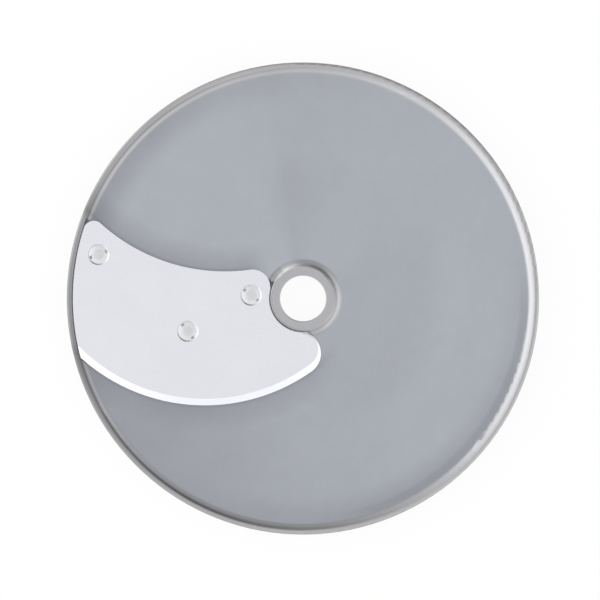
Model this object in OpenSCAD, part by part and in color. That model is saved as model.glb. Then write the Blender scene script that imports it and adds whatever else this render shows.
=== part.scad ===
// Slicing disc of a food processor: a cast aluminium disc with a curved blade held by three screws.
// The bore axis is Z. The disc stands on the foot of its skirt and hub at z = 0, blade side up.

/* [Casting] */
// Outer diameter of the disc
disc_d = 190; // [184:1:204]
// Height from the foot of the skirt to the top of the rim
disc_h = 10.5; // [10:0.5:14]
// Height of the rim and the hub above the floor of the plate
lip_h = 2; // [1.8:0.1:2.4]
// Thickness of the plate
plate_t = 3.5; // [3:0.1:4.5]
// Width of the land on top of the rim
rim_land = 1.25; // [1.1:0.05:1.6]
// Radius of the outer edge of the rim
rim_round = 1; // [0.5:0.1:1.1]
// Radius of the shoulder where the rim and the hub turn down to the floor
shoulder_r = 0.9; // [0.6:0.1:1.1]
// Radius of the cove between the rim and the floor
rim_cove = 3.6; // [3:0.1:4.2]
// Thickness of the skirt below the plate
skirt_t = 4.2; // [3:0.1:6]
// Radius of the rounded edges of the feet
edge_round = 0.6; // [0.3:0.1:1]
// Radius of the coves on the underside
under_cove = 1.2; // [0.8:0.1:1.4]

/* [Hub] */
// Diameter of the bore for the drive shaft
bore_d = 18.4; // [16:0.1:20]
// Diameter of the flat top of the hub
hub_d = 24.8; // [24:0.1:25.4]
// Radius of the cove round the hub
hub_cove = 3.6; // [3:0.1:4]
// Diameter of the boss below the plate
boss_d = 31; // [30:0.5:32]
// Chamfer at both ends of the bore
bore_chamfer = 0.3; // [0.2:0.1:0.8]
// Width of the slot for the cross pin of the shaft
pin_slot_w = 6; // [4:0.5:8]
// Depth of the slot for the cross pin
pin_slot_h = 4; // [3:0.5:4.5]

/* [Blade] */
// Thickness of the blade
blade_t = 1.2; // [1:0.1:1.5]
// Height of the cutting edge above the floor, which sets the slice
slice_t = 0.8; // [0.6:0.1:1.2]
// Gap between the outer end of the blade and the land of the rim
blade_rim_gap = 1.25; // [1:0.05:1.6]
// Gap between the blade and the flat top of the hub
blade_hub_gap = 1.3; // [1:0.05:1.6]
// Radius of the cutting edge
edge_r = 74.5; // [73:0.5:76]
// Centre of the cutting edge's arc, across from the bore
edge_x = -39.5; // [-41:0.1:-38]
// Centre of the cutting edge's arc, along from the bore
edge_y = 31.5; // [30:0.1:33]
// Radius of the hollow back edge
back_r = 74.5; // [73:0.5:76]
// Centre of the back edge's arc, across from the bore
back_x = -31.3; // [-33:0.1:-30]
// Centre of the back edge's arc, along from the bore
back_y = 85.4; // [84:0.1:87]
// Reach of the nose past the bore axis
nose_reach = 7.25; // [6:0.05:8]
// Radius of the nose
nose_r = 9; // [8:0.1:10]
// Radius of the outer tip of the back edge
tip_r = 4.1; // [3:0.1:5]
// Radius of the corner between the back edge and the hub notch
corner_r = 7; // [6:0.1:8]
// Width of the ground bevel along the cutting edge
bevel_w = 2.8; // [2.4:0.1:3.4]
// Width of the bevel at the end of the nose, where the grinding runs out
nose_bevel_w = 1.2; // [0.8:0.1:1.6]
// Radius of the bevel's inner line round the nose
nose_bevel_r = 6.5; // [6:0.1:7]
// Thickness left at the cutting edge
edge_t = 0.15; // [0.1:0.05:0.3]

/* [Seat and throat] */
// Overhang of the blade round the raised seat
seat_inset = 1.6; // [1.4:0.1:2]
// Clearance of the pocket cut round the blade
pocket_gap = 0.25; // [0.15:0.05:0.4]
// Cover of the cutting edge over the front lip of the throat
lip_cover = 0.8; // [0.6:0.1:1.2]
// Flat left on the underside between the throat and the cove of the hub's boss
throat_hub_flat = 0.6; // [0.4:0.1:1]
// Flat left on the underside between the throat and the cove of the skirt
throat_rim_flat = 1.2; // [0.6:0.1:3]
// Spread of the throat's walls through the thickness of the plate
throat_flare = 1.2; // [0.6:0.1:1.4]
// Fullness of the throat's round ends past its width
throat_bulb = 0.15; // [0.1:0.05:0.4]
// Width of a stiffening rib
rib_w = 3; // [2:0.5:4]
// Height of a stiffening rib below the plate
rib_h = 2.5; // [1.5:0.1:3]
// Number of stiffening ribs on the side away from the throat
rib_count = 5; // [3:1:6]

/* [Screws] */
// Diameter of the screw's thread
screw_d = 4; // [3.5:0.1:4.2]
// Diameter of the screw's head
head_d = 7.5; // [7:0.1:8]
// Diameter of the countersink where it meets the top of the blade
sink_d = 8.6; // [8.3:0.1:9]
// Height of the raised crown of the head
crown_h = 0.5; // [0.3:0.05:0.7]
// Length of the screw from the rim of its head to its end
screw_l = 6.5; // [5.5:0.1:6.9]
// Width of the screwdriver slot
slot_w = 1.3; // [1:0.1:1.5]
// Depth of the screwdriver slot from the top of the crown
slot_h = 1.2; // [1:0.1:1.4]
// Chamfer at the end of the thread
thread_chamfer = 0.5; // [0.3:0.1:0.8]
// Clearance round the thread in its tapped hole
thread_gap = 0.05; // [0.03:0.01:0.1]
// Diameter of the boss round a tapped hole
pad_d = 9.5; // [8.5:0.1:10.5]
// Height of the boss below the plate
pad_h = 2; // [1:0.1:3]
// Distance of the outer and inner screws from the back edge
screw_inset = 10.2; // [9:0.1:11]
// Distance of the outer screw from the outer end of the blade
outer_screw_in = 8.4; // [7.5:0.1:10]
// Distance of the inner screw from the hub notch
inner_screw_in = 7.2; // [6.5:0.1:8]
// Distance of the middle screw from the cutting edge
middle_screw_in = 29.3; // [28:0.1:31]
// Direction of the middle screw seen from the centre of the cutting edge's arc
middle_screw_turn = 261.3; // [258:0.1:264]
// Turn of the outer screw's slot
outer_slot_turn = 21; // [-90:1:90]
// Turn of the middle screw's slot
middle_slot_turn = -52; // [-90:1:90]
// Turn of the inner screw's slot
inner_slot_turn = -38; // [-90:1:90]

/* [Hidden] */
$fn = 180;

// Overrun of every cut past the face that it opens
over = 1;

axis = [0, 0];
disc_r = disc_d / 2;
bore_r = bore_d / 2;
hub_r = hub_d / 2;
boss_r = boss_d / 2;
floor_z = disc_h - lip_h;
plate_z = floor_z - plate_t;
rim_r = disc_r - rim_land;
skirt_r = disc_r - skirt_t;

// Arcs of the blade's outline: each corner arc is tangent to its two neighbours
edge_c = [edge_x, edge_y];
back_c = [back_x, back_y];
out_r = rim_r - blade_rim_gap;
notch_r = hub_r + blade_hub_gap;
tip_c = meet(axis, out_r - tip_r, back_c, back_r + tip_r, 1);
corner_c = meet(axis, notch_r + corner_r, back_c, back_r + corner_r, 1);
nose_c = [nose_reach - nose_r, low_y(nose_reach - nose_r, edge_r - nose_r)];

// Bevel: its inner line is an arc round the same centre as the edge, then a small arc round the nose
bevel_r = edge_r - bevel_w;
nose_bevel_x = nose_reach - nose_bevel_w - nose_bevel_r;
nose_bevel_c = [nose_bevel_x, low_y(nose_bevel_x, bevel_r - nose_bevel_r)];
bevel_start = heading(edge_c, meet(edge_c, bevel_r, axis, out_r, -1));
bevel_turn = heading(edge_c, nose_bevel_c);
// The cuts run on a little at the outer end, and lap where the two arcs join
bevel_end = 88;
bevel_lap = 2;

// Heights of the blade
seat_z = floor_z + slice_t;
blade_top_z = seat_z + blade_t;

// Throat: a round-ended slot that follows the cutting edge under the blade
throat_mid_r = edge_r - nose_r;
throat_half = nose_r - lip_cover;
throat_slope = throat_flare / plate_t;
throat_end_r = throat_half + throat_bulb;
throat_foot_r = throat_end_r + throat_flare + under_cove;
throat_in_c = meet(edge_c, throat_mid_r, axis, boss_r + throat_hub_flat + throat_foot_r, -1);
throat_out_c = meet(edge_c, throat_mid_r, axis, skirt_r - throat_rim_flat - throat_foot_r, -1);

// Ribs: they fill the side away from the throat
rib_first = -75;
rib_last = 135;

// Screws: the head's cone sinks until its rim meets the countersink
head_r = head_d / 2;
sink_r = sink_d / 2;
head_z = blade_top_z - (sink_r - head_r);
crown_z = head_z + crown_h;
crown_r = (head_r * head_r + crown_h * crown_h) / (2 * crown_h);
hole_r = screw_d / 2;
thread_r = hole_r - thread_gap;
outer_screw_c = meet(axis, out_r - outer_screw_in, back_c, back_r + screw_inset, 1);
inner_screw_c = meet(axis, notch_r + inner_screw_in, back_c, back_r + screw_inset, 1);
middle_screw_c = edge_c + (edge_r - middle_screw_in) * toward(middle_screw_turn);
screw_places = [outer_screw_c, middle_screw_c, inner_screw_c];

// Unit vector in a direction
function toward(turn) = [cos(turn), sin(turn)];

// Direction of one point seen from another
function heading(from, to) = atan2(to.y - from.y, to.x - from.x);

// Point where two circles cross, on the left (1) or the right (-1) of the line from a to b
function meet(a, a_r, b, b_r, side) =
    let (d = norm(b - a),
         u = (b - a) / d,
         along = (d * d + a_r * a_r - b_r * b_r) / (2 * d),
         off = sqrt(a_r * a_r - along * along))
    a + along * u + side * off * [-u.y, u.x];

// Lower of the two points at x that lie at a distance from the centre of the cutting edge
function low_y(x, distance) = edge_y - sqrt(distance * distance - (x - edge_x) * (x - edge_x));

// Hollow corner between a floor along X and a wall along Y
module cove(radius) {
    difference() {
        translate([-over, -over]) square(radius + over);
        translate([radius, radius]) circle(radius);
    }
}

// Waste outside a rounded corner whose two sides run along -X and -Y from the origin
module round_waste(radius) {
    difference() {
        translate([-radius, -radius]) square(radius + over);
        translate([-radius, -radius]) circle(radius);
        translate([-radius - over, -radius - over]) square([over, radius + 3 * over]);
        translate([-radius - over, -radius - over]) square([radius + 3 * over, over]);
    }
}

// Side of the rim or the hub: a round shoulder that turns down into a cove
module lip_side(cove_r) {
    both = shoulder_r + cove_r;
    run = sqrt(both * both - (both - lip_h) * (both - lip_h));
    translate([0, lip_h - shoulder_r]) circle(shoulder_r);
    difference() {
        polygon([[0, lip_h - shoulder_r], [run, cove_r], [run, -over], [-over, -over],
                 [-over, lip_h - shoulder_r]]);
        translate([run, cove_r]) circle(cove_r);
    }
}

// Half section of the casting, from the bore to the rim
module casting_section() {
    difference() {
        union() {
            translate([bore_r, plate_z]) square([disc_r - bore_r, plate_t]);
            translate([bore_r, 0]) square([hub_r - bore_r, disc_h]);
            translate([bore_r, 0]) square([boss_r - bore_r, floor_z]);
            translate([rim_r, 0]) square([rim_land, disc_h]);
            translate([skirt_r, 0]) square([skirt_t, floor_z]);
            translate([hub_r, floor_z]) lip_side(hub_cove);
            translate([rim_r, floor_z]) mirror([1, 0]) lip_side(rim_cove);
            translate([boss_r, plate_z]) mirror([0, 1]) cove(under_cove);
            translate([skirt_r, plate_z]) mirror([1, 0]) mirror([0, 1]) cove(under_cove);
        }
        translate([disc_r, disc_h]) round_waste(rim_round);
        translate([disc_r, 0]) mirror([0, 1]) round_waste(edge_round);
        translate([skirt_r, 0]) mirror([1, 0]) mirror([0, 1]) round_waste(edge_round);
        translate([boss_r, 0]) mirror([0, 1]) round_waste(edge_round);
    }
}

// Outline of the blade, with every side moved outwards by grow
module blade_outline(grow = 0) {
    far = disc_d;
    nose_way = toward(heading(edge_c, nose_c));
    tip_way = toward(heading(axis, tip_c));
    difference() {
        union() {
            intersection() {
                translate(edge_c) circle(edge_r + grow);
                circle(out_r + grow);
                polygon([back_c, corner_c, axis, nose_c, nose_c + far * nose_way,
                         [-far, -far], far * tip_way, tip_c]);
            }
            translate(tip_c) circle(tip_r + grow);
            translate(corner_c) circle(corner_r + grow);
            translate(nose_c) circle(nose_r + grow);
        }
        translate(back_c) circle(back_r - grow);
        circle(notch_r - grow);
    }
}

// Ring sector round a centre, from a section drawn in radius and height
module sweep(centre, start, end) {
    translate(centre) rotate(start) rotate_extrude(angle = end - start) children();
}

// Waste above the bevel, as a section whose slope starts at a radius on top of the blade
module bevel_section(radius) {
    drop = blade_t - edge_t;
    polygon([[radius, blade_t], [radius + 2 * bevel_w, blade_t - 2 * drop],
             [radius + 2 * bevel_w, blade_t + over], [radius, blade_t + over]]);
}

// Section of the throat: its walls spread downwards
module throat_section() {
    low = plate_z - over;
    high = seat_z + over;
    wide = throat_half + (floor_z - low) * throat_slope;
    narrow = throat_half - (high - floor_z) * throat_slope;
    polygon([[throat_mid_r - wide, low], [throat_mid_r + wide, low],
             [throat_mid_r + narrow, high], [throat_mid_r - narrow, high]]);
}

// Round end of the throat, with the same spread and a little fuller
module throat_end(centre) {
    low = plate_z - over;
    high = seat_z + over;
    wide = throat_end_r + (floor_z - low) * throat_slope;
    narrow = throat_end_r - (high - floor_z) * throat_slope;
    translate([centre.x, centre.y, low]) cylinder(h = high - low, r1 = wide, r2 = narrow);
}

module throat() {
    sweep(edge_c, heading(edge_c, throat_out_c), heading(edge_c, throat_in_c)) throat_section();
    throat_end(throat_in_c);
    throat_end(throat_out_c);
}

// Countersink for a screw head: its cone goes on below the blade into the casting
module sink() {
    deep = sink_r + over;
    translate([0, 0, blade_top_z - sink_r]) cylinder(h = deep, r1 = 0, r2 = deep);
}

module ribs() {
    reach = skirt_r + skirt_t / 2 - (boss_r + bore_r) / 2;
    for (i = [0 : rib_count - 1])
        rotate(rib_first + (rib_last - rib_first) * i / (rib_count - 1))
            translate([(boss_r + bore_r) / 2, -rib_w / 2, plate_z - rib_h])
                cube([reach, rib_w, rib_h + plate_t / 2]);
}

module disc() {
    color([0.72, 0.73, 0.75])
    difference() {
        union() {
            rotate_extrude() casting_section();
            translate([0, 0, floor_z - plate_t / 2])
                linear_extrude(slice_t + plate_t / 2) blade_outline(-seat_inset);
            for (c = screw_places)
                translate([c.x, c.y, plate_z - pad_h]) cylinder(h = pad_h + plate_t / 2, d = pad_d);
            ribs();
        }
        translate([0, 0, seat_z]) linear_extrude(lip_h + over) blade_outline(pocket_gap);
        throat();
        for (c = screw_places) {
            translate([c.x, c.y, 0]) sink();
            translate([c.x, c.y, plate_z - pad_h - over])
                cylinder(h = plate_t + pad_h + slice_t + 2 * over, r = hole_r);
        }
        translate([-boss_r - over, -pin_slot_w / 2, -over])
            cube([2 * (boss_r + over), pin_slot_w, pin_slot_h + over]);
        for (end = [0, 1])
            translate([0, 0, end * disc_h]) mirror([0, 0, end])
                translate([0, 0, -over])
                    cylinder(h = bore_chamfer + over, r1 = bore_r + bore_chamfer + over, r2 = bore_r);
    }
}

module blade() {
    color([0.89, 0.90, 0.92])
    difference() {
        translate([0, 0, seat_z]) difference() {
            linear_extrude(blade_t) blade_outline();
            sweep(edge_c, bevel_start - bevel_lap, bevel_turn) bevel_section(bevel_r);
            sweep(nose_bevel_c, bevel_turn - bevel_lap, bevel_end) bevel_section(nose_bevel_r);
        }
        for (c = screw_places) translate([c.x, c.y, 0]) sink();
    }
}

// Raised countersunk screw with a straight slot
module screw(place, turn) {
    color([0.80, 0.80, 0.81])
    translate([place.x, place.y, 0]) rotate(turn)
    difference() {
        union() {
            intersection() {
                translate([0, 0, crown_z - crown_r]) sphere(crown_r);
                translate([0, 0, head_z - over]) cylinder(h = crown_h + 2 * over, r = head_r);
                translate([0, 0, head_z - head_r]) cylinder(h = 2 * head_r, r1 = 0, r2 = 2 * head_r);
            }
            translate([0, 0, head_z - head_r + thread_r])
                cylinder(h = head_r - thread_r, r1 = thread_r, r2 = head_r);
            translate([0, 0, head_z - screw_l + thread_chamfer])
                cylinder(h = screw_l - thread_chamfer - (head_r - thread_r) / 2, r = thread_r);
            translate([0, 0, head_z - screw_l])
                cylinder(h = thread_chamfer, r1 = thread_r - thread_chamfer, r2 = thread_r);
        }
        translate([-head_r - over, -slot_w / 2, crown_z - slot_h])
            cube([2 * (head_r + over), slot_w, slot_h + over]);
    }
}

module outer_blade_screw() {
    screw(outer_screw_c, outer_slot_turn);
}

module middle_blade_screw() {
    screw(middle_screw_c, middle_slot_turn);
}

module inner_blade_screw() {
    screw(inner_screw_c, inner_slot_turn);
}

disc();
blade();
outer_blade_screw();
middle_blade_screw();
inner_blade_screw();
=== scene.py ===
"""Slicing disc of a food processor: finishes for the casting, the blade and its screws, on a pale floor."""

import math

import bmesh
import bpy
from mathutils import Matrix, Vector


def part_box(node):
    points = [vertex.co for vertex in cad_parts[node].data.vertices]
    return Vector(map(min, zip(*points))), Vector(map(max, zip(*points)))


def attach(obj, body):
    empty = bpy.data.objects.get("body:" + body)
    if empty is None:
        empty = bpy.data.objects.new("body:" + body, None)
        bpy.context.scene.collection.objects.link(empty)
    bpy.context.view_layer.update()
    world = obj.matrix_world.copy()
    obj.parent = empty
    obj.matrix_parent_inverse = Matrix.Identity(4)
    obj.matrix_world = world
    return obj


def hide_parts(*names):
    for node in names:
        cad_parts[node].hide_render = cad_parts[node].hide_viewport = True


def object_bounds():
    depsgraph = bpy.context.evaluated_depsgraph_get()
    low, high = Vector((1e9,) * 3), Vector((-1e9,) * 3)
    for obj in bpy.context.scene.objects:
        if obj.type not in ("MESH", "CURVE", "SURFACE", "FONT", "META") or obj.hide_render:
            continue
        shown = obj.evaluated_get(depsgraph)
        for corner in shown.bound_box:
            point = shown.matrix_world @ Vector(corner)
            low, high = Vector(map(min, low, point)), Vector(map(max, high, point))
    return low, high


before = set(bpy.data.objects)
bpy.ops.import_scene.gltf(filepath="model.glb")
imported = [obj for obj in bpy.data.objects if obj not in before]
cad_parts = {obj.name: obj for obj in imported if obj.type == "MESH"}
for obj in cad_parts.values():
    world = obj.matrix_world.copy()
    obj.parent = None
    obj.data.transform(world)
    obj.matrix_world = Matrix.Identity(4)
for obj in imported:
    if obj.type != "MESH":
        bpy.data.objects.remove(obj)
cad_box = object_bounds()

bl_info = {
    "name": "Slicing disc",
    "version": (1, 0, 0),
    "blender": (4, 5, 0),
    "location": "3D View > Sidebar > Slicing disc",
    "description": "Finishes a cast slicing disc with its blade and screws",
    "category": "Object",
}

MM = 0.001

# Places in the frame
DISC_R = cad_box[1].x
RIM_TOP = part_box("disc")[1].z
BLADE_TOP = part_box("blade")[1].z
# Height of the casting's floor, below the top of its rim
FLOOR_Z = RIM_TOP - 2 * MM
# Centres of the arcs of the blade's cutting edge and back edge, and the radius of both arcs
CUTTING_EDGE = (-39.5 * MM, 31.5 * MM)
BACK_EDGE = (-31.3 * MM, 85.4 * MM)
LONG_EDGE_R = 74.5 * MM
# Radius of the blade's countersinks
COUNTERSINK_R = 4.5 * MM

# Turn of each screw's slot, in degrees
SLOT_TURNS = {"outer_blade_screw": 21, "middle_blade_screw": -52, "inner_blade_screw": -38}
# Points of a mesh that are closer than this are one point
WELD = 1e-3 * MM
# Edges of a screw's head are rounded over the first angle, and facets are shaded as one under the second
ROUNDED_OVER = math.radians(40)
SMOOTH_UNDER = math.radians(35)
END_CHAMFER = 0.5 * MM
CROWN_STEPS = 8
TURN_STEPS = 64
EDGE_STEPS = 3
# Depth of a thread and half the width of its crest, as shares of its pitch
THREAD_DEPTH_SHARE = 0.5
CREST_SHARE = 1 / 16
THREAD_STEPS = 32
# Steps in which the thread rises out of the core at its ends
FADE_STEPS = 10

# Each curve below runs once round the disc. Its stops are (turn, height), and the turn is 0 at the left,
# 0.25 at the front, 0.5 at the right and 0.75 at the back
# Painted reflection: the floor is painted lighter and darker in broad fans round the disc
PAINTED_REFLECTION_FANS = [
    (0.0, 0.92), (0.06, 0.83), (0.125, 0.80), (0.167, 0.835), (0.21, 0.88), (0.25, 0.91), (0.375, 0.975),
    (0.5, 1.0), (0.625, 0.985), (0.705, 0.965), (0.775, 0.955), (0.785, 0.985), (0.875, 1.0), (1.0, 0.92),
]
# Painted shade: the floor is painted darker towards the foot of the rim, more at some turns than others
DARK_BY_RIM = [
    (0.0, 1), (0.125, 0.1), (0.25, 0.6), (0.333, 0.9), (0.417, 0.7), (0.5, 0.35), (0.56, 0), (0.68, 0),
    (0.75, 0.3), (0.8, 0.45), (0.87, 1), (1.0, 1),
]
# Painted shade: the floor is painted darker towards the hub, more at some turns than others
DARK_BY_HUB = [
    (0.0, 0), (0.2, 0), (0.375, 1), (0.54, 1), (0.64, 0.3), (0.7, 0.3), (0.775, 0.9), (0.82, 0), (1.0, 0),
]
# Rings painted with light and shade that differ round the disc: painted shade in gaps, coves and shoulders,
# and painted highlights such as the glint behind the hub. The distances from the axis are where a ring
# starts, where it is full, where it begins to fade and where it ends; the curve is its share of the
# casting's colour
PAINTED_LIGHT_RINGS = {
    "top of the rim": (
        (DISC_R - 3.2 * MM, DISC_R - 2.4 * MM, DISC_R, DISC_R + 1 * MM), [
            (0.0, 0.65), (0.04, 0.6), (0.083, 0.66), (0.125, 0.75), (0.167, 0.87), (0.25, 1.0), (0.55, 1.0),
            (0.708, 1.04), (0.792, 1.0), (0.875, 0.85), (0.958, 0.72), (1.0, 0.65),
        ],
    ),
    "shoulder of the hub": (
        (12.2 * MM, 12.7 * MM, 13.3 * MM, 14.0 * MM), [
            (0.0, 0.66), (0.14, 0.66), (0.22, 0.78), (0.3, 0.93), (0.39, 0.96), (0.5, 0.9), (0.58, 0.86),
            (0.625, 0.76), (0.667, 0.97), (0.72, 1.0), (0.88, 1.0), (0.92, 0.72), (1.0, 0.66),
        ],
    ),
    "glint behind the hub": (
        (12.4 * MM, 13.0 * MM, 13.8 * MM, 14.6 * MM), [
            (0.0, 1.0), (0.7, 1.0), (0.74, 1.2), (0.79, 1.45), (0.833, 1.42), (0.87, 1.0), (0.895, 0.82),
            (0.94, 1.0),
        ],
    ),
    "cove of the hub": (
        (13.3 * MM, 14.0 * MM, 15.3 * MM, 16.4 * MM), [
            (0.0, 1.0), (0.25, 1.0), (0.306, 0.86), (0.389, 0.97), (0.46, 1.03), (0.5, 1.04), (0.55, 1.0),
            (0.62, 0.92), (0.7, 0.93), (0.78, 1.0), (0.833, 0.88), (0.865, 0.61), (0.9, 0.46), (0.93, 0.5),
            (1.0, 1.0),
        ],
    ),
    "shoulder of the rim": (
        (DISC_R - 2.4 * MM, DISC_R - 1.9 * MM, DISC_R - 1.4 * MM, DISC_R - 0.9 * MM), [
            (0.0, 1.0), (0.25, 1.0), (0.35, 0.88), (0.45, 0.82), (0.58, 0.8), (0.75, 0.92), (0.8, 1.0),
            (1.0, 1.0),
        ],
    ),
    "foot of the rim": (
        (DISC_R - 8.5 * MM, DISC_R - 6.5 * MM, DISC_R - 4.8 * MM, DISC_R - 3.6 * MM), [
            (0.0, 1.0), (0.25, 1.0), (0.32, 0.9), (0.47, 0.88), (0.53, 1.0), (1.0, 1.0),
        ],
    ),
}
# Light from low and from high on the walls of the room, as shares of the brightest
LOW_LIGHT = [
    (0.0, 0.87), (0.083, 0.70), (0.167, 0.55), (0.25, 0.46), (0.333, 0.43), (0.417, 0.49), (0.5, 0.47),
    (0.583, 0.27), (0.667, 0.12), (0.75, 0.21), (0.8, 0.38), (0.833, 0.56), (0.917, 0.84), (1.0, 0.87),
]
HIGH_LIGHT = [
    (0.0, 0.97), (0.083, 0.85), (0.167, 0.60), (0.25, 0.53), (0.333, 0.59), (0.375, 0.71), (0.417, 0.66),
    (0.5, 0.67), (0.583, 0.54), (0.667, 0.3), (0.75, 0.285), (0.833, 0.48), (0.917, 0.97), (1.0, 0.97),
]
BRIGHTEST = 1.95
OVERHEAD = 0.975
# Tilts from straight up: where the high wall is, where the low wall begins, and where the horizon is
HIGH_WALL = math.radians(38)
LOW_WALL = math.radians(75)
HORIZON_START = math.radians(87)
HORIZON_END = math.radians(91)


def colour_value(name, description, value):
    """A colour that is picked."""
    return bpy.props.FloatVectorProperty(
        name=name, description=description, default=value, min=0, max=1, size=3, subtype="COLOR",
    )


def share_value(name, description, value):
    """A number from 0 to 1."""
    return bpy.props.FloatProperty(name=name, description=description, default=value, min=0, max=1)


def length(name, description, value, low, high):
    """A size that is set in millimetres."""
    return bpy.props.FloatProperty(
        name=name, description=description, default=value * MM, min=low * MM, max=high * MM,
        subtype="DISTANCE", unit="LENGTH", precision=4,
    )


class CastingFinish(bpy.types.PropertyGroup):
    colour: colour_value("Colour", "Blasted aluminium", (0.406, 0.424, 0.463))
    # Partly polish, partly painted highlight: the slopes are painted brighter than the blasted face
    slope_polish_and_highlight: colour_value(
        "Slope colour", "Aluminium polished bright on the slopes of the rim and the hub",
        (0.515, 0.515, 0.527),
    )
    land_colour: colour_value(
        "Land colour", "Aluminium on the level tops of the rim and the hub", (0.426, 0.427, 0.444),
    )
    roughness: share_value("Roughness", "Sheen of the blasted surface", 0.24)
    grain: length("Grain", "Size of the blasting marks", 0.45, 0.1, 3)
    slope_easing: share_value("Eased slopes", "How much flatter the polished slopes look", 0.27)
    edge_wear: length("Edge radius", "Rounding that the edges seem to have", 0.15, 0, 1)


class BladeFinish(bpy.types.PropertyGroup):
    colour: colour_value("Colour", "Finely ground stainless steel", (0.718, 0.723, 0.762))
    roughness: share_value("Roughness", "Sheen of the ground faces", 0.30)
    scratch: length("Grinding lines", "Distance between the grinding lines", 0.25, 0.05, 2)


class BladeScrew(bpy.types.PropertyGroup):
    colour: colour_value("Colour", "Bright stainless steel", (0.73, 0.735, 0.75))
    roughness: share_value("Roughness", "Sheen of the turned heads", 0.16)
    crown: length("Crown", "Height of the domed top above the rim of the head", 0.5, 0.2, 0.8)
    edge: length("Edge", "Radius of the rim of the head", 0.1, 0.02, 0.3)
    seat_depth: length("Seat depth", "Depth of the head's cone below its rim", 1.8, 1.2, 2.4)
    thread: length("Thread", "Outer diameter of the thread", 3.9, 3.0, 3.95)
    pitch: length("Pitch", "Rise of the thread in a turn", 0.7, 0.4, 1.0)
    slot_width: length("Slot width", "Width of the screwdriver slot", 1.3, 0.8, 1.6)
    slot_depth: length("Slot depth", "Depth of the slot below the top of the crown", 1.2, 0.8, 1.5)


class StudioStage(bpy.types.PropertyGroup):
    floor_colour: colour_value("Floor", "Pale floor", (0.90, 0.90, 0.90))
    floor_width: length("Floor width", "Width of the floor", 24000, 1000, 100000)
    view_width: length("View width", "Width that the camera sees at the top of the rim", 241.3, 100, 2000)
    camera_height: length("Camera height", "Height of the camera above the rim", 3000, 500, 20000)


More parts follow.
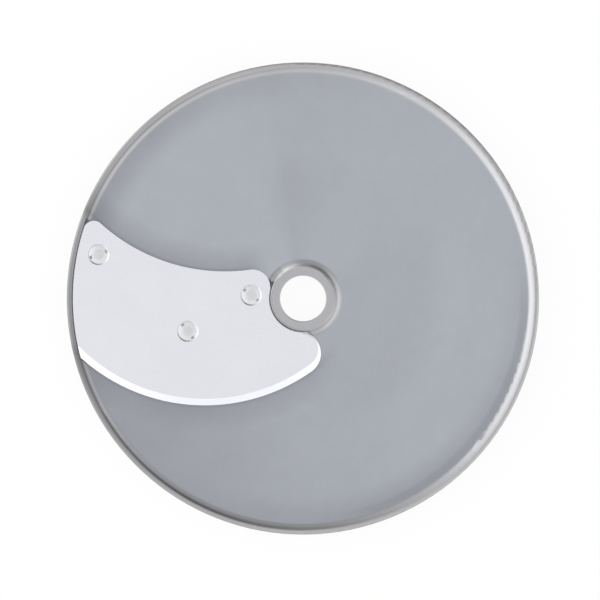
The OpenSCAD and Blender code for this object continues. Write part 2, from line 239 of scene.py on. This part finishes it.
class NodeSheet:
    """Writes a node tree: every call adds one node, or a few, and gives back the output."""

    def __init__(self, tree):
        self.tree = tree
        tree.nodes.clear()

    def node(self, kind, values=None, **settings):
        made = self.tree.nodes.new(kind)
        for name, value in settings.items():
            setattr(made, name, value)
        for socket, value in (values or {}).items():
            self.fill(made.inputs[socket], value)
        return made

    def fill(self, socket, value):
        if isinstance(value, bpy.types.NodeSocket):
            self.tree.links.new(value, socket)
        else:
            socket.default_value = value

    def math(self, operation, *values):
        return self.node("ShaderNodeMath", dict(enumerate(values)), operation=operation).outputs[0]

    def times(self, first, *others):
        """The product of all the values."""
        for value in others:
            first = self.math("MULTIPLY", first, value)
        return first

    def less(self, value):
        """One less the value."""
        return self.math("SUBTRACT", 1.0, value)

    def between(self, value, start, end, low=0.0, high=1.0, smooth=True):
        """Goes from low to high as the value goes from start to end, and stays there outside them."""
        made = self.node(
            "ShaderNodeMapRange",
            {"Value": value, "From Min": start, "From Max": end, "To Min": low, "To Max": high},
            interpolation_type="SMOOTHSTEP" if smooth else "LINEAR",
        )
        return made.outputs["Result"]

    def mix(self, factor, first, second):
        """Goes from the first value to the second as the factor goes from 0 to 1."""
        return self.math("ADD", self.times(first, self.less(factor)), self.times(second, factor))

    def noise(self, coords, scale, detail=2.0, roughness=0.5):
        made = self.node(
            "ShaderNodeTexNoise",
            {"Vector": coords, "Scale": scale, "Detail": detail, "Roughness": roughness},
            noise_dimensions="3D",
        )
        return made.outputs["Fac"]

    def wander(self, pattern, middle, amount, reach=0.2):
        """Strays from the middle by the amount, as a noise pattern strays from a half by its reach."""
        return self.between(pattern, 0.5 - reach, 0.5 + reach, middle - amount, middle + amount)

    def curve(self, value, stops):
        """Smooth grey curve through (place, height) stops."""
        made = self.node("ShaderNodeValToRGB", {"Fac": value})
        made.color_ramp.interpolation = "EASE"
        elements = made.color_ramp.elements
        while len(elements) > 1:
            elements.remove(elements[-1])
        elements[0].position = stops[0][0]
        elements[0].color = (*[stops[0][1]] * 3, 1)
        for place, height in stops[1:]:
            elements.new(place).color = (*[height] * 3, 1)
        return made.outputs["Color"]

    def blend(self, factor, first, second):
        """Goes from the first colour to the second as the factor goes from 0 to 1."""
        made = self.node("ShaderNodeMix", data_type="RGBA", blend_type="MIX")
        colour_in = [socket for socket in made.inputs if socket.type == "RGBA"]
        self.fill(made.inputs["Factor"], factor)
        self.fill(colour_in[0], first)
        self.fill(colour_in[1], second)
        return next(socket for socket in made.outputs if socket.type == "RGBA")

    def tint(self, colour, shade):
        """The colour times a grey shade."""
        if not isinstance(colour, bpy.types.NodeSocket):
            colour = tuple(colour)
        made = self.node("ShaderNodeVectorMath", {0: colour, 1: shade}, operation="MULTIPLY")
        return made.outputs["Vector"]

    def place(self):
        """The point that is shaded, in the frame."""
        return self.node("ShaderNodeTexCoord").outputs["Object"]

    def parts(self, vector):
        """The X, Y and Z of a vector."""
        return self.node("ShaderNodeSeparateXYZ", {"Vector": vector}).outputs

    def polar(self, coords, centre=(0.0, 0.0)):
        """Distance and turn of a point round a centre, in metres and radians."""
        shift = (-centre[0], -centre[1], 0)
        moved = self.node("ShaderNodeVectorMath", {0: coords, 1: shift}, operation="ADD")
        split = self.parts(moved.outputs["Vector"])
        x, y = split["X"], split["Y"]
        far = self.math("SQRT", self.math("ADD", self.times(x, x), self.times(y, y)))
        return far, self.math("ARCTAN2", y, x)

    def round_share(self, turn):
        """The turn in radians as a place on a curve that runs once round the disc."""
        return self.math("ADD", self.math("DIVIDE", turn, 2 * math.pi), 0.5)

    def worn_edges(self, radius):
        """The normal, as if every edge were rounded to this radius."""
        return self.node("ShaderNodeBevel", {"Radius": radius}, samples=4).outputs["Normal"]

    def lean_up(self, normal, amount):
        """The normal, leaning the more towards straight up the larger the amount."""
        upward = self.node("ShaderNodeCombineXYZ", {"Z": amount}).outputs["Vector"]
        raised = self.node("ShaderNodeVectorMath", {0: normal, 1: upward}, operation="ADD")
        unit = self.node("ShaderNodeVectorMath", {0: raised.outputs["Vector"]}, operation="NORMALIZE")
        return unit.outputs["Vector"]

    def bumps(self, pattern, normal, strength, depth):
        """The normal, with the bumps of a pattern."""
        made = self.node(
            "ShaderNodeBump",
            {"Strength": strength, "Distance": depth, "Height": pattern, "Normal": normal},
        )
        return made.outputs["Normal"]

    def metal(self, colour, roughness, normal):
        """Closes a material as bare metal."""
        surface = self.node(
            "ShaderNodeBsdfPrincipled",
            {"Base Color": colour, "Metallic": 1.0, "Roughness": roughness, "Normal": normal},
        )
        self.node("ShaderNodeOutputMaterial", {"Surface": surface.outputs["BSDF"]})


def new_material(name):
    material = bpy.data.materials.new(name)
    material.use_nodes = True
    return material, NodeSheet(material.node_tree)


def put_on(node_name, material):
    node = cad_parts[node_name]
    node.data.materials.clear()
    node.data.materials.append(material)


def lit(colour):
    """A colour with the full opacity that a node's colour asks for."""
    return (*colour, 1.0)


class SLICING_OT_finish_casting(bpy.types.Operator):
    """Gives the casting its blasted, lightly worn aluminium, with painted shade, shadow and highlights"""

    bl_idname = "slicing.finish_casting"
    bl_label = "Finish the casting"

    def execute(self, context):
        look = context.scene.casting_finish
        material, sheet = new_material("blasted aluminium")
        coords = sheet.place()
        far, turn = sheet.polar(coords)
        share = sheet.round_share(turn)
        height = sheet.parts(coords)["Z"]
        on_slope = sheet.between(height, FLOOR_Z + 0.02 * MM, FLOOR_Z + 0.35 * MM)
        on_top = sheet.between(height, RIM_TOP - 0.3 * MM, RIM_TOP - 0.02 * MM)

        # The tops are free of the marks of the blasted face and of its painted fans and painted shade rings
        face = sheet.mix(on_top, self.face_tone_and_painted_shade(sheet, look, coords, far, share), 1.0)
        # The colour is painted darker and brighter on rings round the disc, and painted darker as shadow
        # along the blade
        shade = sheet.times(face, *self.painted_ring_shades(sheet, far, share), *self.painted_blade_shadows(sheet, coords))
        # The slopes take a colour that is brighter partly for their polish and partly as a painted
        # highlight
        colour = sheet.blend(on_slope, lit(look.colour), lit(look.slope_polish_and_highlight))
        colour = sheet.blend(on_top, colour, lit(look.land_colour))
        colour = sheet.tint(colour, shade)

        rough = sheet.wander(sheet.noise(coords, 260, 3.0), look.roughness, 0.03)
        pits = sheet.noise(coords, 1 / look.grain, 3.0, 0.6)
        easing = self.easing(sheet, look, far, height, on_slope)
        normal = sheet.lean_up(sheet.worn_edges(look.edge_wear), easing)
        sheet.metal(colour, rough, sheet.bumps(pits, normal, strength=0.35, depth=0.03 * MM))
        put_on("disc", material)
        return {"FINISHED"}

    def face_tone_and_painted_shade(self, sheet, look, coords, far, share):
        """The blasted face: soft clouds, fine specks, painted reflection fans and painted shade rings near
        rim and hub.
        """
        cloud = sheet.wander(sheet.noise(coords, 55, 3.0), 1.0, 0.015)
        speck = sheet.wander(sheet.noise(coords, 1 / look.grain, 2.0), 1.0, 0.025, reach=0.25)
        outward = sheet.between(far, 25 * MM, 80 * MM, 0.5, 1.0)
        # Painted reflection: broad fans that fade towards the hub
        painted_fan = sheet.mix(outward, 1.0, sheet.curve(share, PAINTED_REFLECTION_FANS))
        # Painted shade in rings near the rim and the hub
        by_rim = sheet.between(far, DISC_R - 17 * MM, DISC_R - 5 * MM, 0.0, 0.2)
        by_hub = sheet.between(far, 45 * MM, 62 * MM, 0.065, 0.0)
        rim_ring = sheet.less(sheet.times(sheet.curve(share, DARK_BY_RIM), by_rim))
        hub_ring = sheet.less(sheet.times(sheet.curve(share, DARK_BY_HUB), by_hub))
        return sheet.times(cloud, speck, painted_fan, rim_ring, hub_ring)

    def painted_ring_shades(self, sheet, far, share):
        """Painted light and shade: shares of the colour on rings painted darker or brighter round the disc.
        """
        for (start, full, fade, end), stops in PAINTED_LIGHT_RINGS.values():
            ring = sheet.times(sheet.between(far, start, full), sheet.between(far, end, fade))
            yield sheet.mix(ring, 1.0, sheet.curve(share, stops))

    def painted_blade_shadows(self, sheet, coords):
        """Painted shadow on the floor along the blade's two long edges, as shares of the colour."""
        split = sheet.parts(coords)
        ahead = sheet.math("SUBTRACT", sheet.polar(coords, CUTTING_EDGE)[0], LONG_EDGE_R)
        behind = sheet.math("SUBTRACT", LONG_EDGE_R, sheet.polar(coords, BACK_EDGE)[0])
        # The painted shadows end before the nose and before the hub
        to_nose = sheet.times(
            sheet.between(split["Y"], -12 * MM, -22 * MM), sheet.between(split["X"], 16 * MM, 3 * MM),
        )
        to_hub = sheet.between(split["X"], -12 * MM, -24 * MM)
        for away, depth, along in ((ahead, 0.14, to_nose), (behind, 0.21, to_hub)):
            soft = sheet.between(away, 11 * MM, 0.0, 0.0, depth, smooth=False)
            line = sheet.times(sheet.between(away, 1.6 * MM, 0.5 * MM, 0.0, 0.08), along)
            outside = sheet.between(away, -4 * MM, 0.0)
            yield sheet.less(sheet.times(sheet.math("ADD", soft, line), outside, along))

    def easing(self, sheet, look, far, height, on_slope):
        """How much flatter polishing makes the slopes look, most of all on the tops and the outer edge."""
        level = 1.2
        foot = 1.5
        on_edge = sheet.times(
            sheet.between(far, DISC_R - 1.1 * MM, DISC_R - 0.8 * MM),
            sheet.between(height, RIM_TOP - 1 * MM, RIM_TOP - 0.4 * MM),
        )
        shoulder = sheet.between(height, RIM_TOP - 0.45 * MM, RIM_TOP - 0.05 * MM, look.slope_easing, level)
        lips = sheet.mix(on_edge, sheet.times(on_slope, shoulder), level)
        # The foot of the rim's cove runs out softly on the floor
        at_foot = sheet.times(
            sheet.between(far, DISC_R - 12 * MM, DISC_R - 10 * MM),
            sheet.between(far, DISC_R - 2.5 * MM, DISC_R - 3 * MM),
            sheet.between(height, FLOOR_Z - 0.1 * MM, FLOOR_Z - 0.02 * MM),
            sheet.between(height, FLOOR_Z + 0.01 * MM, FLOOR_Z + 0.12 * MM, foot, 0.0),
        )
        return sheet.math("ADD", lips, at_foot)


class SLICING_OT_finish_blade(bpy.types.Operator):
    """Gives the blade its finely ground steel, with grinding lines along it, a bevel painted brighter
    partly as a highlight, and painted shade in the countersinks
    """

    bl_idname = "slicing.finish_blade"
    bl_label = "Finish the blade"

    def execute(self, context):
        look = context.scene.blade_finish
        material, sheet = new_material("ground blade steel")
        coords = sheet.place()
        lines = sheet.node(
            "ShaderNodeMapping",
            {"Vector": coords, "Rotation": (0, 0, math.radians(15)), "Scale": (0.06, 1, 1)},
        ).outputs["Vector"]
        brushed = sheet.noise(lines, 1 / look.scratch, 3.0, 0.6)
        scratches = sheet.wander(brushed, 1.0, 0.008, reach=0.25)
        cloud = sheet.wander(sheet.noise(coords, 60, 2.0), 1.0, 0.008)

        # The bevel is painted brighter than the top, partly for its fresh grinding and partly as a painted
        # highlight, and the countersinks are painted darker below the rims of the heads, as shade in the
        # recesses
        height = sheet.parts(coords)["Z"]
        bevel = sheet.between(height, BLADE_TOP - 0.02 * MM, BLADE_TOP - 0.1 * MM, 1.0, 1.22)
        near = 1.0
        for node_name in SLOT_TURNS:
            low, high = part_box(node_name)
            near = sheet.math("MINIMUM", near, sheet.polar(coords, (low + high) / 2)[0])
        inside = sheet.between(near, COUNTERSINK_R, COUNTERSINK_R - 0.1 * MM)
        sunk_shade = sheet.between(height, BLADE_TOP - 0.6 * MM, BLADE_TOP - 0.75 * MM, 0.0, 0.45)
        shade = sheet.times(scratches, cloud, bevel, sheet.less(sheet.times(inside, sunk_shade)))

        rough = sheet.wander(brushed, look.roughness, 0.04, reach=0.25)
        normal = sheet.bumps(brushed, sheet.worn_edges(0.08 * MM), strength=0.2, depth=0.01 * MM)
        sheet.metal(sheet.tint(look.colour, shade), rough, normal)
        put_on("blade", material)
        return {"FINISHED"}


class SLICING_OT_turn_screws(bpy.types.Operator):
    """Turns the three blade screws, with their domed heads, slots and threads"""

    bl_idname = "slicing.turn_screws"
    bl_label = "Turn the screws"

    def execute(self, context):
        look = context.scene.blade_screw
        for node_name, slot_turn in SLOT_TURNS.items():
            low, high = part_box(node_name)
            centre = (low + high) / 2
            radius = (high.x - low.x) / 2
            name = node_name.replace("_blade", "")
            screw = self.shape(context, look, name, low.z, high.z, radius, slot_turn)
            screw.data.transform(Matrix.Translation((centre.x, centre.y, 0)))
            steel = self.bright_steel(look, node_name, centre, radius, high.z - look.crown)
            screw.data.materials.append(steel)
            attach(screw, "root")
            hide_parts(node_name)
        return {"FINISHED"}

    def shape(self, context, look, name, foot, top, radius, slot_turn):
        """A screw round the Z axis: a turned blank, less its slot, with a thread wound on it."""
        neck = top - look.crown - look.seat_depth
        core = look.thread / 2 - THREAD_DEPTH_SHARE * look.pitch
        blank = self.turn_blank(context, look, name, foot, neck, top, core, radius)
        mesh = self.cut_slot(context, look, blank, top, radius, slot_turn)

        bm = bmesh.new()
        bm.from_mesh(mesh)
        slot_floor = top - look.slot_depth - WELD
        sharp = [
            edge for edge in bm.edges
            if edge.is_convex and edge.calc_face_angle(0) > ROUNDED_OVER and edge.verts[0].co.z > slot_floor
        ]
        bmesh.ops.bevel(
            bm, geom=sharp, offset=look.edge, segments=EDGE_STEPS, profile=0.5, affect="EDGES",
            clamp_overlap=True, material=-1,
        )
        self.wind_thread(bm, look, core, foot + END_CHAMFER, neck)
        bm.to_mesh(mesh)
        bm.free()
        mesh.shade_smooth()
        mesh.set_sharp_from_angle(angle=SMOOTH_UNDER)
        return blank

    def turn_blank(self, context, look, name, foot, neck, top, core, radius):
        """A blank turned from half its outline: the crown, the cone, the core and the chamfered end."""
        crown_radius = (radius ** 2 + look.crown ** 2) / (2 * look.crown)
        bm = bmesh.new()
        start = bm.verts.new((0, 0, top))
        arc = bmesh.ops.spin(
            bm, geom=[start], cent=(0, 0, top - crown_radius), axis=(0, 1, 0), dvec=(0, 0, 0),
            angle=math.asin(radius / crown_radius), steps=CROWN_STEPS, use_merge=False,
        )
        last = next(item for item in arc["geom_last"] if isinstance(item, bmesh.types.BMVert))
        for far, height in (
            (look.thread / 2, neck), (core, neck - look.pitch / 2), (core, foot + END_CHAMFER),
            (core - END_CHAMFER, foot), (0, foot),
        ):
            new = bm.verts.new((far, 0, height))
            bm.edges.new((last, new))
            last = new
        bmesh.ops.spin(
            bm, geom=bm.verts[:] + bm.edges[:], cent=(0, 0, 0), axis=(0, 0, 1), dvec=(0, 0, 0),
            angle=2 * math.pi, steps=TURN_STEPS, use_merge=True,
        )
        bmesh.ops.remove_doubles(bm, verts=bm.verts[:], dist=WELD)
        bmesh.ops.recalc_face_normals(bm, faces=bm.faces[:])
        return self.piece(context, name, bm)

    def cut_slot(self, context, look, blank, top, radius, slot_turn):
        """Cuts the screwdriver slot across the blank and gives back its new mesh."""
        bm = bmesh.new()
        bmesh.ops.create_cube(bm, size=1)
        height = look.slot_depth + radius
        bmesh.ops.scale(bm, vec=(3 * radius, look.slot_width, height), verts=bm.verts[:])
        bmesh.ops.rotate(bm, matrix=Matrix.Rotation(math.radians(slot_turn), 3, "Z"), verts=bm.verts[:])
        bmesh.ops.translate(bm, vec=(0, 0, top - look.slot_depth + height / 2), verts=bm.verts[:])
        cutter = self.piece(context, "slot cutter", bm)
        cut = blank.modifiers.new("slot", "BOOLEAN")
        cut.object = cutter
        cut.operation = "DIFFERENCE"
        cut.solver = "EXACT"
        mesh = bpy.data.meshes.new_from_object(blank.evaluated_get(context.evaluated_depsgraph_get()))
        blank.modifiers.clear()
        blank.data = mesh
        bpy.data.objects.remove(cutter)
        return mesh

    def wind_thread(self, bm, look, core, start, end):
        """Winds a ridge of the thread's pitch on the core; it rises out of the core at one end and sinks
        back into it at the other."""
        half = look.pitch / 2
        crest = look.pitch * CREST_SHARE
        inside = core - crest
        turns = (end - start) / look.pitch - 1
        steps = round(THREAD_STEPS * turns)
        rings = []
        for step in range(steps + 1):
            turn = 2 * math.pi * turns * step / steps
            climb = start + half + look.pitch * turns * step / steps
            rise = min(1.0, (step + 1) / FADE_STEPS, (steps - step + 1) / FADE_STEPS)
            crown = inside + (look.thread / 2 - inside) * rise
            rings.append([
                bm.verts.new((far * math.cos(turn), far * math.sin(turn), climb + height))
                for far, height in ((inside, -half), (crown, -crest), (crown, crest), (inside, half))
            ])
        skin = [bm.faces.new(rings[0]), bm.faces.new(rings[-1])]
        for low, high in zip(rings, rings[1:]):
            for i in range(4):
                skin.append(bm.faces.new((low[i], low[i - 1], high[i - 1], high[i])))
        bmesh.ops.recalc_face_normals(bm, faces=skin)

    def piece(self, context, name, bm):
        mesh = bpy.data.meshes.new(name)
        bm.to_mesh(mesh)
        bm.free()
        made = bpy.data.objects.new(name, mesh)
        context.scene.collection.objects.link(made)
        return made

    def bright_steel(self, look, node_name, centre, radius, rim):
        """Steel with faint turned rings, a middle painted darker as reflection, and painted shade in the
        notches at the ends of the slot.
        """
        material, sheet = new_material(node_name.replace("_", " ") + " steel")
        ring_width = 0.18 * MM
        coords = sheet.place()
        far = sheet.polar(coords, centre)[0]
        rings = sheet.math("SINE", sheet.times(far, 2 * math.pi / ring_width))
        smudge = sheet.noise(coords, 900, 2.0)
        height = sheet.parts(coords)["Z"]
        # Painted shade: the notches at the ends of the slot are painted darker below the rim of the head
        notch_shade = sheet.times(
            sheet.between(far, 0.7 * radius, 0.8 * radius),
            sheet.between(height, rim - 0.05 * MM, rim - 0.2 * MM, 0.0, 0.5),
        )
        shade = sheet.times(
            sheet.between(rings, -1, 1, 0.985, 1.015),
            sheet.between(smudge, 0.3, 0.7, 0.97, 1.0),
            # Painted reflection: the middle of the head is painted darker
            sheet.between(far, 0.45 * radius, 0.7 * radius, 0.9, 1.0),
            sheet.less(notch_shade),
        )
        rough = sheet.between(smudge, 0.3, 0.7, look.roughness - 0.03, look.roughness + 0.05)
        normal = sheet.bumps(rings, self.eased_normal(sheet), strength=0.1, depth=0.005 * MM)
        sheet.metal(sheet.tint(look.colour, shade), rough, normal)
        return material

    def eased_normal(self, sheet):
        """The crown's normal, with its slopes polished flatter; the walls of the slot keep theirs."""
        normal = sheet.node("ShaderNodeNewGeometry").outputs["Normal"]
        level = sheet.parts(normal)["Z"]
        return sheet.lean_up(normal, sheet.between(level, 0.9, 0.97, 0.0, 3.2))


class SLICING_OT_set_stage(bpy.types.Operator):
    """Sets the pale floor, the soft studio light and the camera straight above the disc"""

    bl_idname = "slicing.set_stage"
    bl_label = "Set the stage"

    def execute(self, context):
        stage = context.scene.studio_stage
        self.lay_floor(context, stage)
        self.light(context)
        self.aim_camera(context, stage)
        context.scene.view_settings.view_transform = "Standard"
        return {"FINISHED"}

    def lay_floor(self, context, stage):
        """A paper floor that glows nearly white where it is seen, and can't be seen from below."""
        mesh = bpy.data.meshes.new("floor")
        bm = bmesh.new()
        bmesh.ops.create_grid(bm, x_segments=1, y_segments=1, size=stage.floor_width / 2)
        bm.to_mesh(mesh)
        bm.free()
        floor = bpy.data.objects.new("floor", mesh)
        context.scene.collection.objects.link(floor)

        glow = 0.94
        material, sheet = new_material("pale floor")
        paint = sheet.node("ShaderNodeBsdfDiffuse", {"Color": lit(stage.floor_colour)}).outputs["BSDF"]
        white = sheet.node("ShaderNodeEmission", {"Color": lit((1, 1, 1)), "Strength": 1.0})
        path = sheet.node("ShaderNodeLightPath").outputs
        seen = sheet.math("MAXIMUM", path["Is Camera Ray"], path["Is Glossy Ray"])
        seen = sheet.math("MAXIMUM", seen, path["Is Transmission Ray"])
        layers = {0: sheet.times(seen, glow), 1: paint, 2: white.outputs["Emission"]}
        top = sheet.node("ShaderNodeMixShader", layers).outputs["Shader"]
        under = sheet.node("ShaderNodeBsdfTransparent").outputs["BSDF"]
        below = sheet.node("ShaderNodeNewGeometry").outputs["Backfacing"]
        both = sheet.node("ShaderNodeMixShader", {0: below, 1: top, 2: under}).outputs["Shader"]
        sheet.node("ShaderNodeOutputMaterial", {"Surface": both})
        mesh.materials.append(material)

    def light(self, context):
        """A white room whose walls differ: a bright side on the left and a dim corner at the back right."""
        world = bpy.data.worlds.new("studio")
        world.use_nodes = True
        sheet = NodeSheet(world.node_tree)
        way = sheet.parts(sheet.node("ShaderNodeTexCoord").outputs["Generated"])
        share = sheet.round_share(sheet.math("ARCTAN2", way["Y"], way["X"]))
        tilt = sheet.math("ARCCOSINE", way["Z"])
        low = sheet.curve(share, LOW_LIGHT)
        high = sheet.curve(share, HIGH_LIGHT)
        room = sheet.times(sheet.mix(sheet.between(tilt, HIGH_WALL, LOW_WALL), high, low), BRIGHTEST)
        room = sheet.mix(sheet.between(tilt, 0.0, HIGH_WALL, smooth=False), OVERHEAD, room)
        room = sheet.mix(sheet.between(tilt, HORIZON_START, HORIZON_END), room, 1.0)
        back = sheet.node("ShaderNodeBackground", {"Color": (1, 1, 1, 1), "Strength": room})
        sheet.node("ShaderNodeOutputWorld", {"Surface": back.outputs["Background"]})
        context.scene.world = world

    def aim_camera(self, context, stage):
        """A camera that looks straight down, a little to the left of the bore and in front of it."""
        data = bpy.data.cameras.new("camera")
        data.sensor_width = 36.0
        data.lens = data.sensor_width * stage.camera_height / stage.view_width
        data.clip_end = 100.0
        camera = bpy.data.objects.new("camera", data)
        camera.location = (-1.18 * MM, -0.61 * MM, RIM_TOP + stage.camera_height)
        context.scene.collection.objects.link(camera)
        context.scene.camera = camera


class SLICING_PT_panel(bpy.types.Panel):
    bl_idname = "SLICING_PT_panel"
    bl_label = "Slicing disc"
    bl_space_type = "VIEW_3D"
    bl_region_type = "UI"
    bl_category = "Slicing disc"

    def draw(self, context):
        scene = context.scene
        for look, step in (
            (scene.casting_finish, SLICING_OT_finish_casting),
            (scene.blade_finish, SLICING_OT_finish_blade),
            (scene.blade_screw, SLICING_OT_turn_screws),
            (scene.studio_stage, SLICING_OT_set_stage),
        ):
            box = self.layout.box()
            for name in look.__annotations__:
                box.prop(look, name)
            box.operator(step.bl_idname)


GROUPS = {
    "casting_finish": CastingFinish,
    "blade_finish": BladeFinish,
    "blade_screw": BladeScrew,
    "studio_stage": StudioStage,
}
CLASSES = (
    *GROUPS.values(),
    SLICING_OT_finish_casting,
    SLICING_OT_finish_blade,
    SLICING_OT_turn_screws,
    SLICING_OT_set_stage,
    SLICING_PT_panel,
)


def register():
    for made in CLASSES:
        bpy.utils.register_class(made)
    for name, group in GROUPS.items():
        setattr(bpy.types.Scene, name, bpy.props.PointerProperty(type=group))


def unregister():
    for name in GROUPS:
        delattr(bpy.types.Scene, name)
    for made in reversed(CLASSES):
        bpy.utils.unregister_class(made)


def main():
    register()
    bpy.ops.slicing.set_stage()
    bpy.ops.slicing.finish_casting()
    bpy.ops.slicing.finish_blade()
    bpy.ops.slicing.turn_screws()


if __name__ == "__main__":
    main()
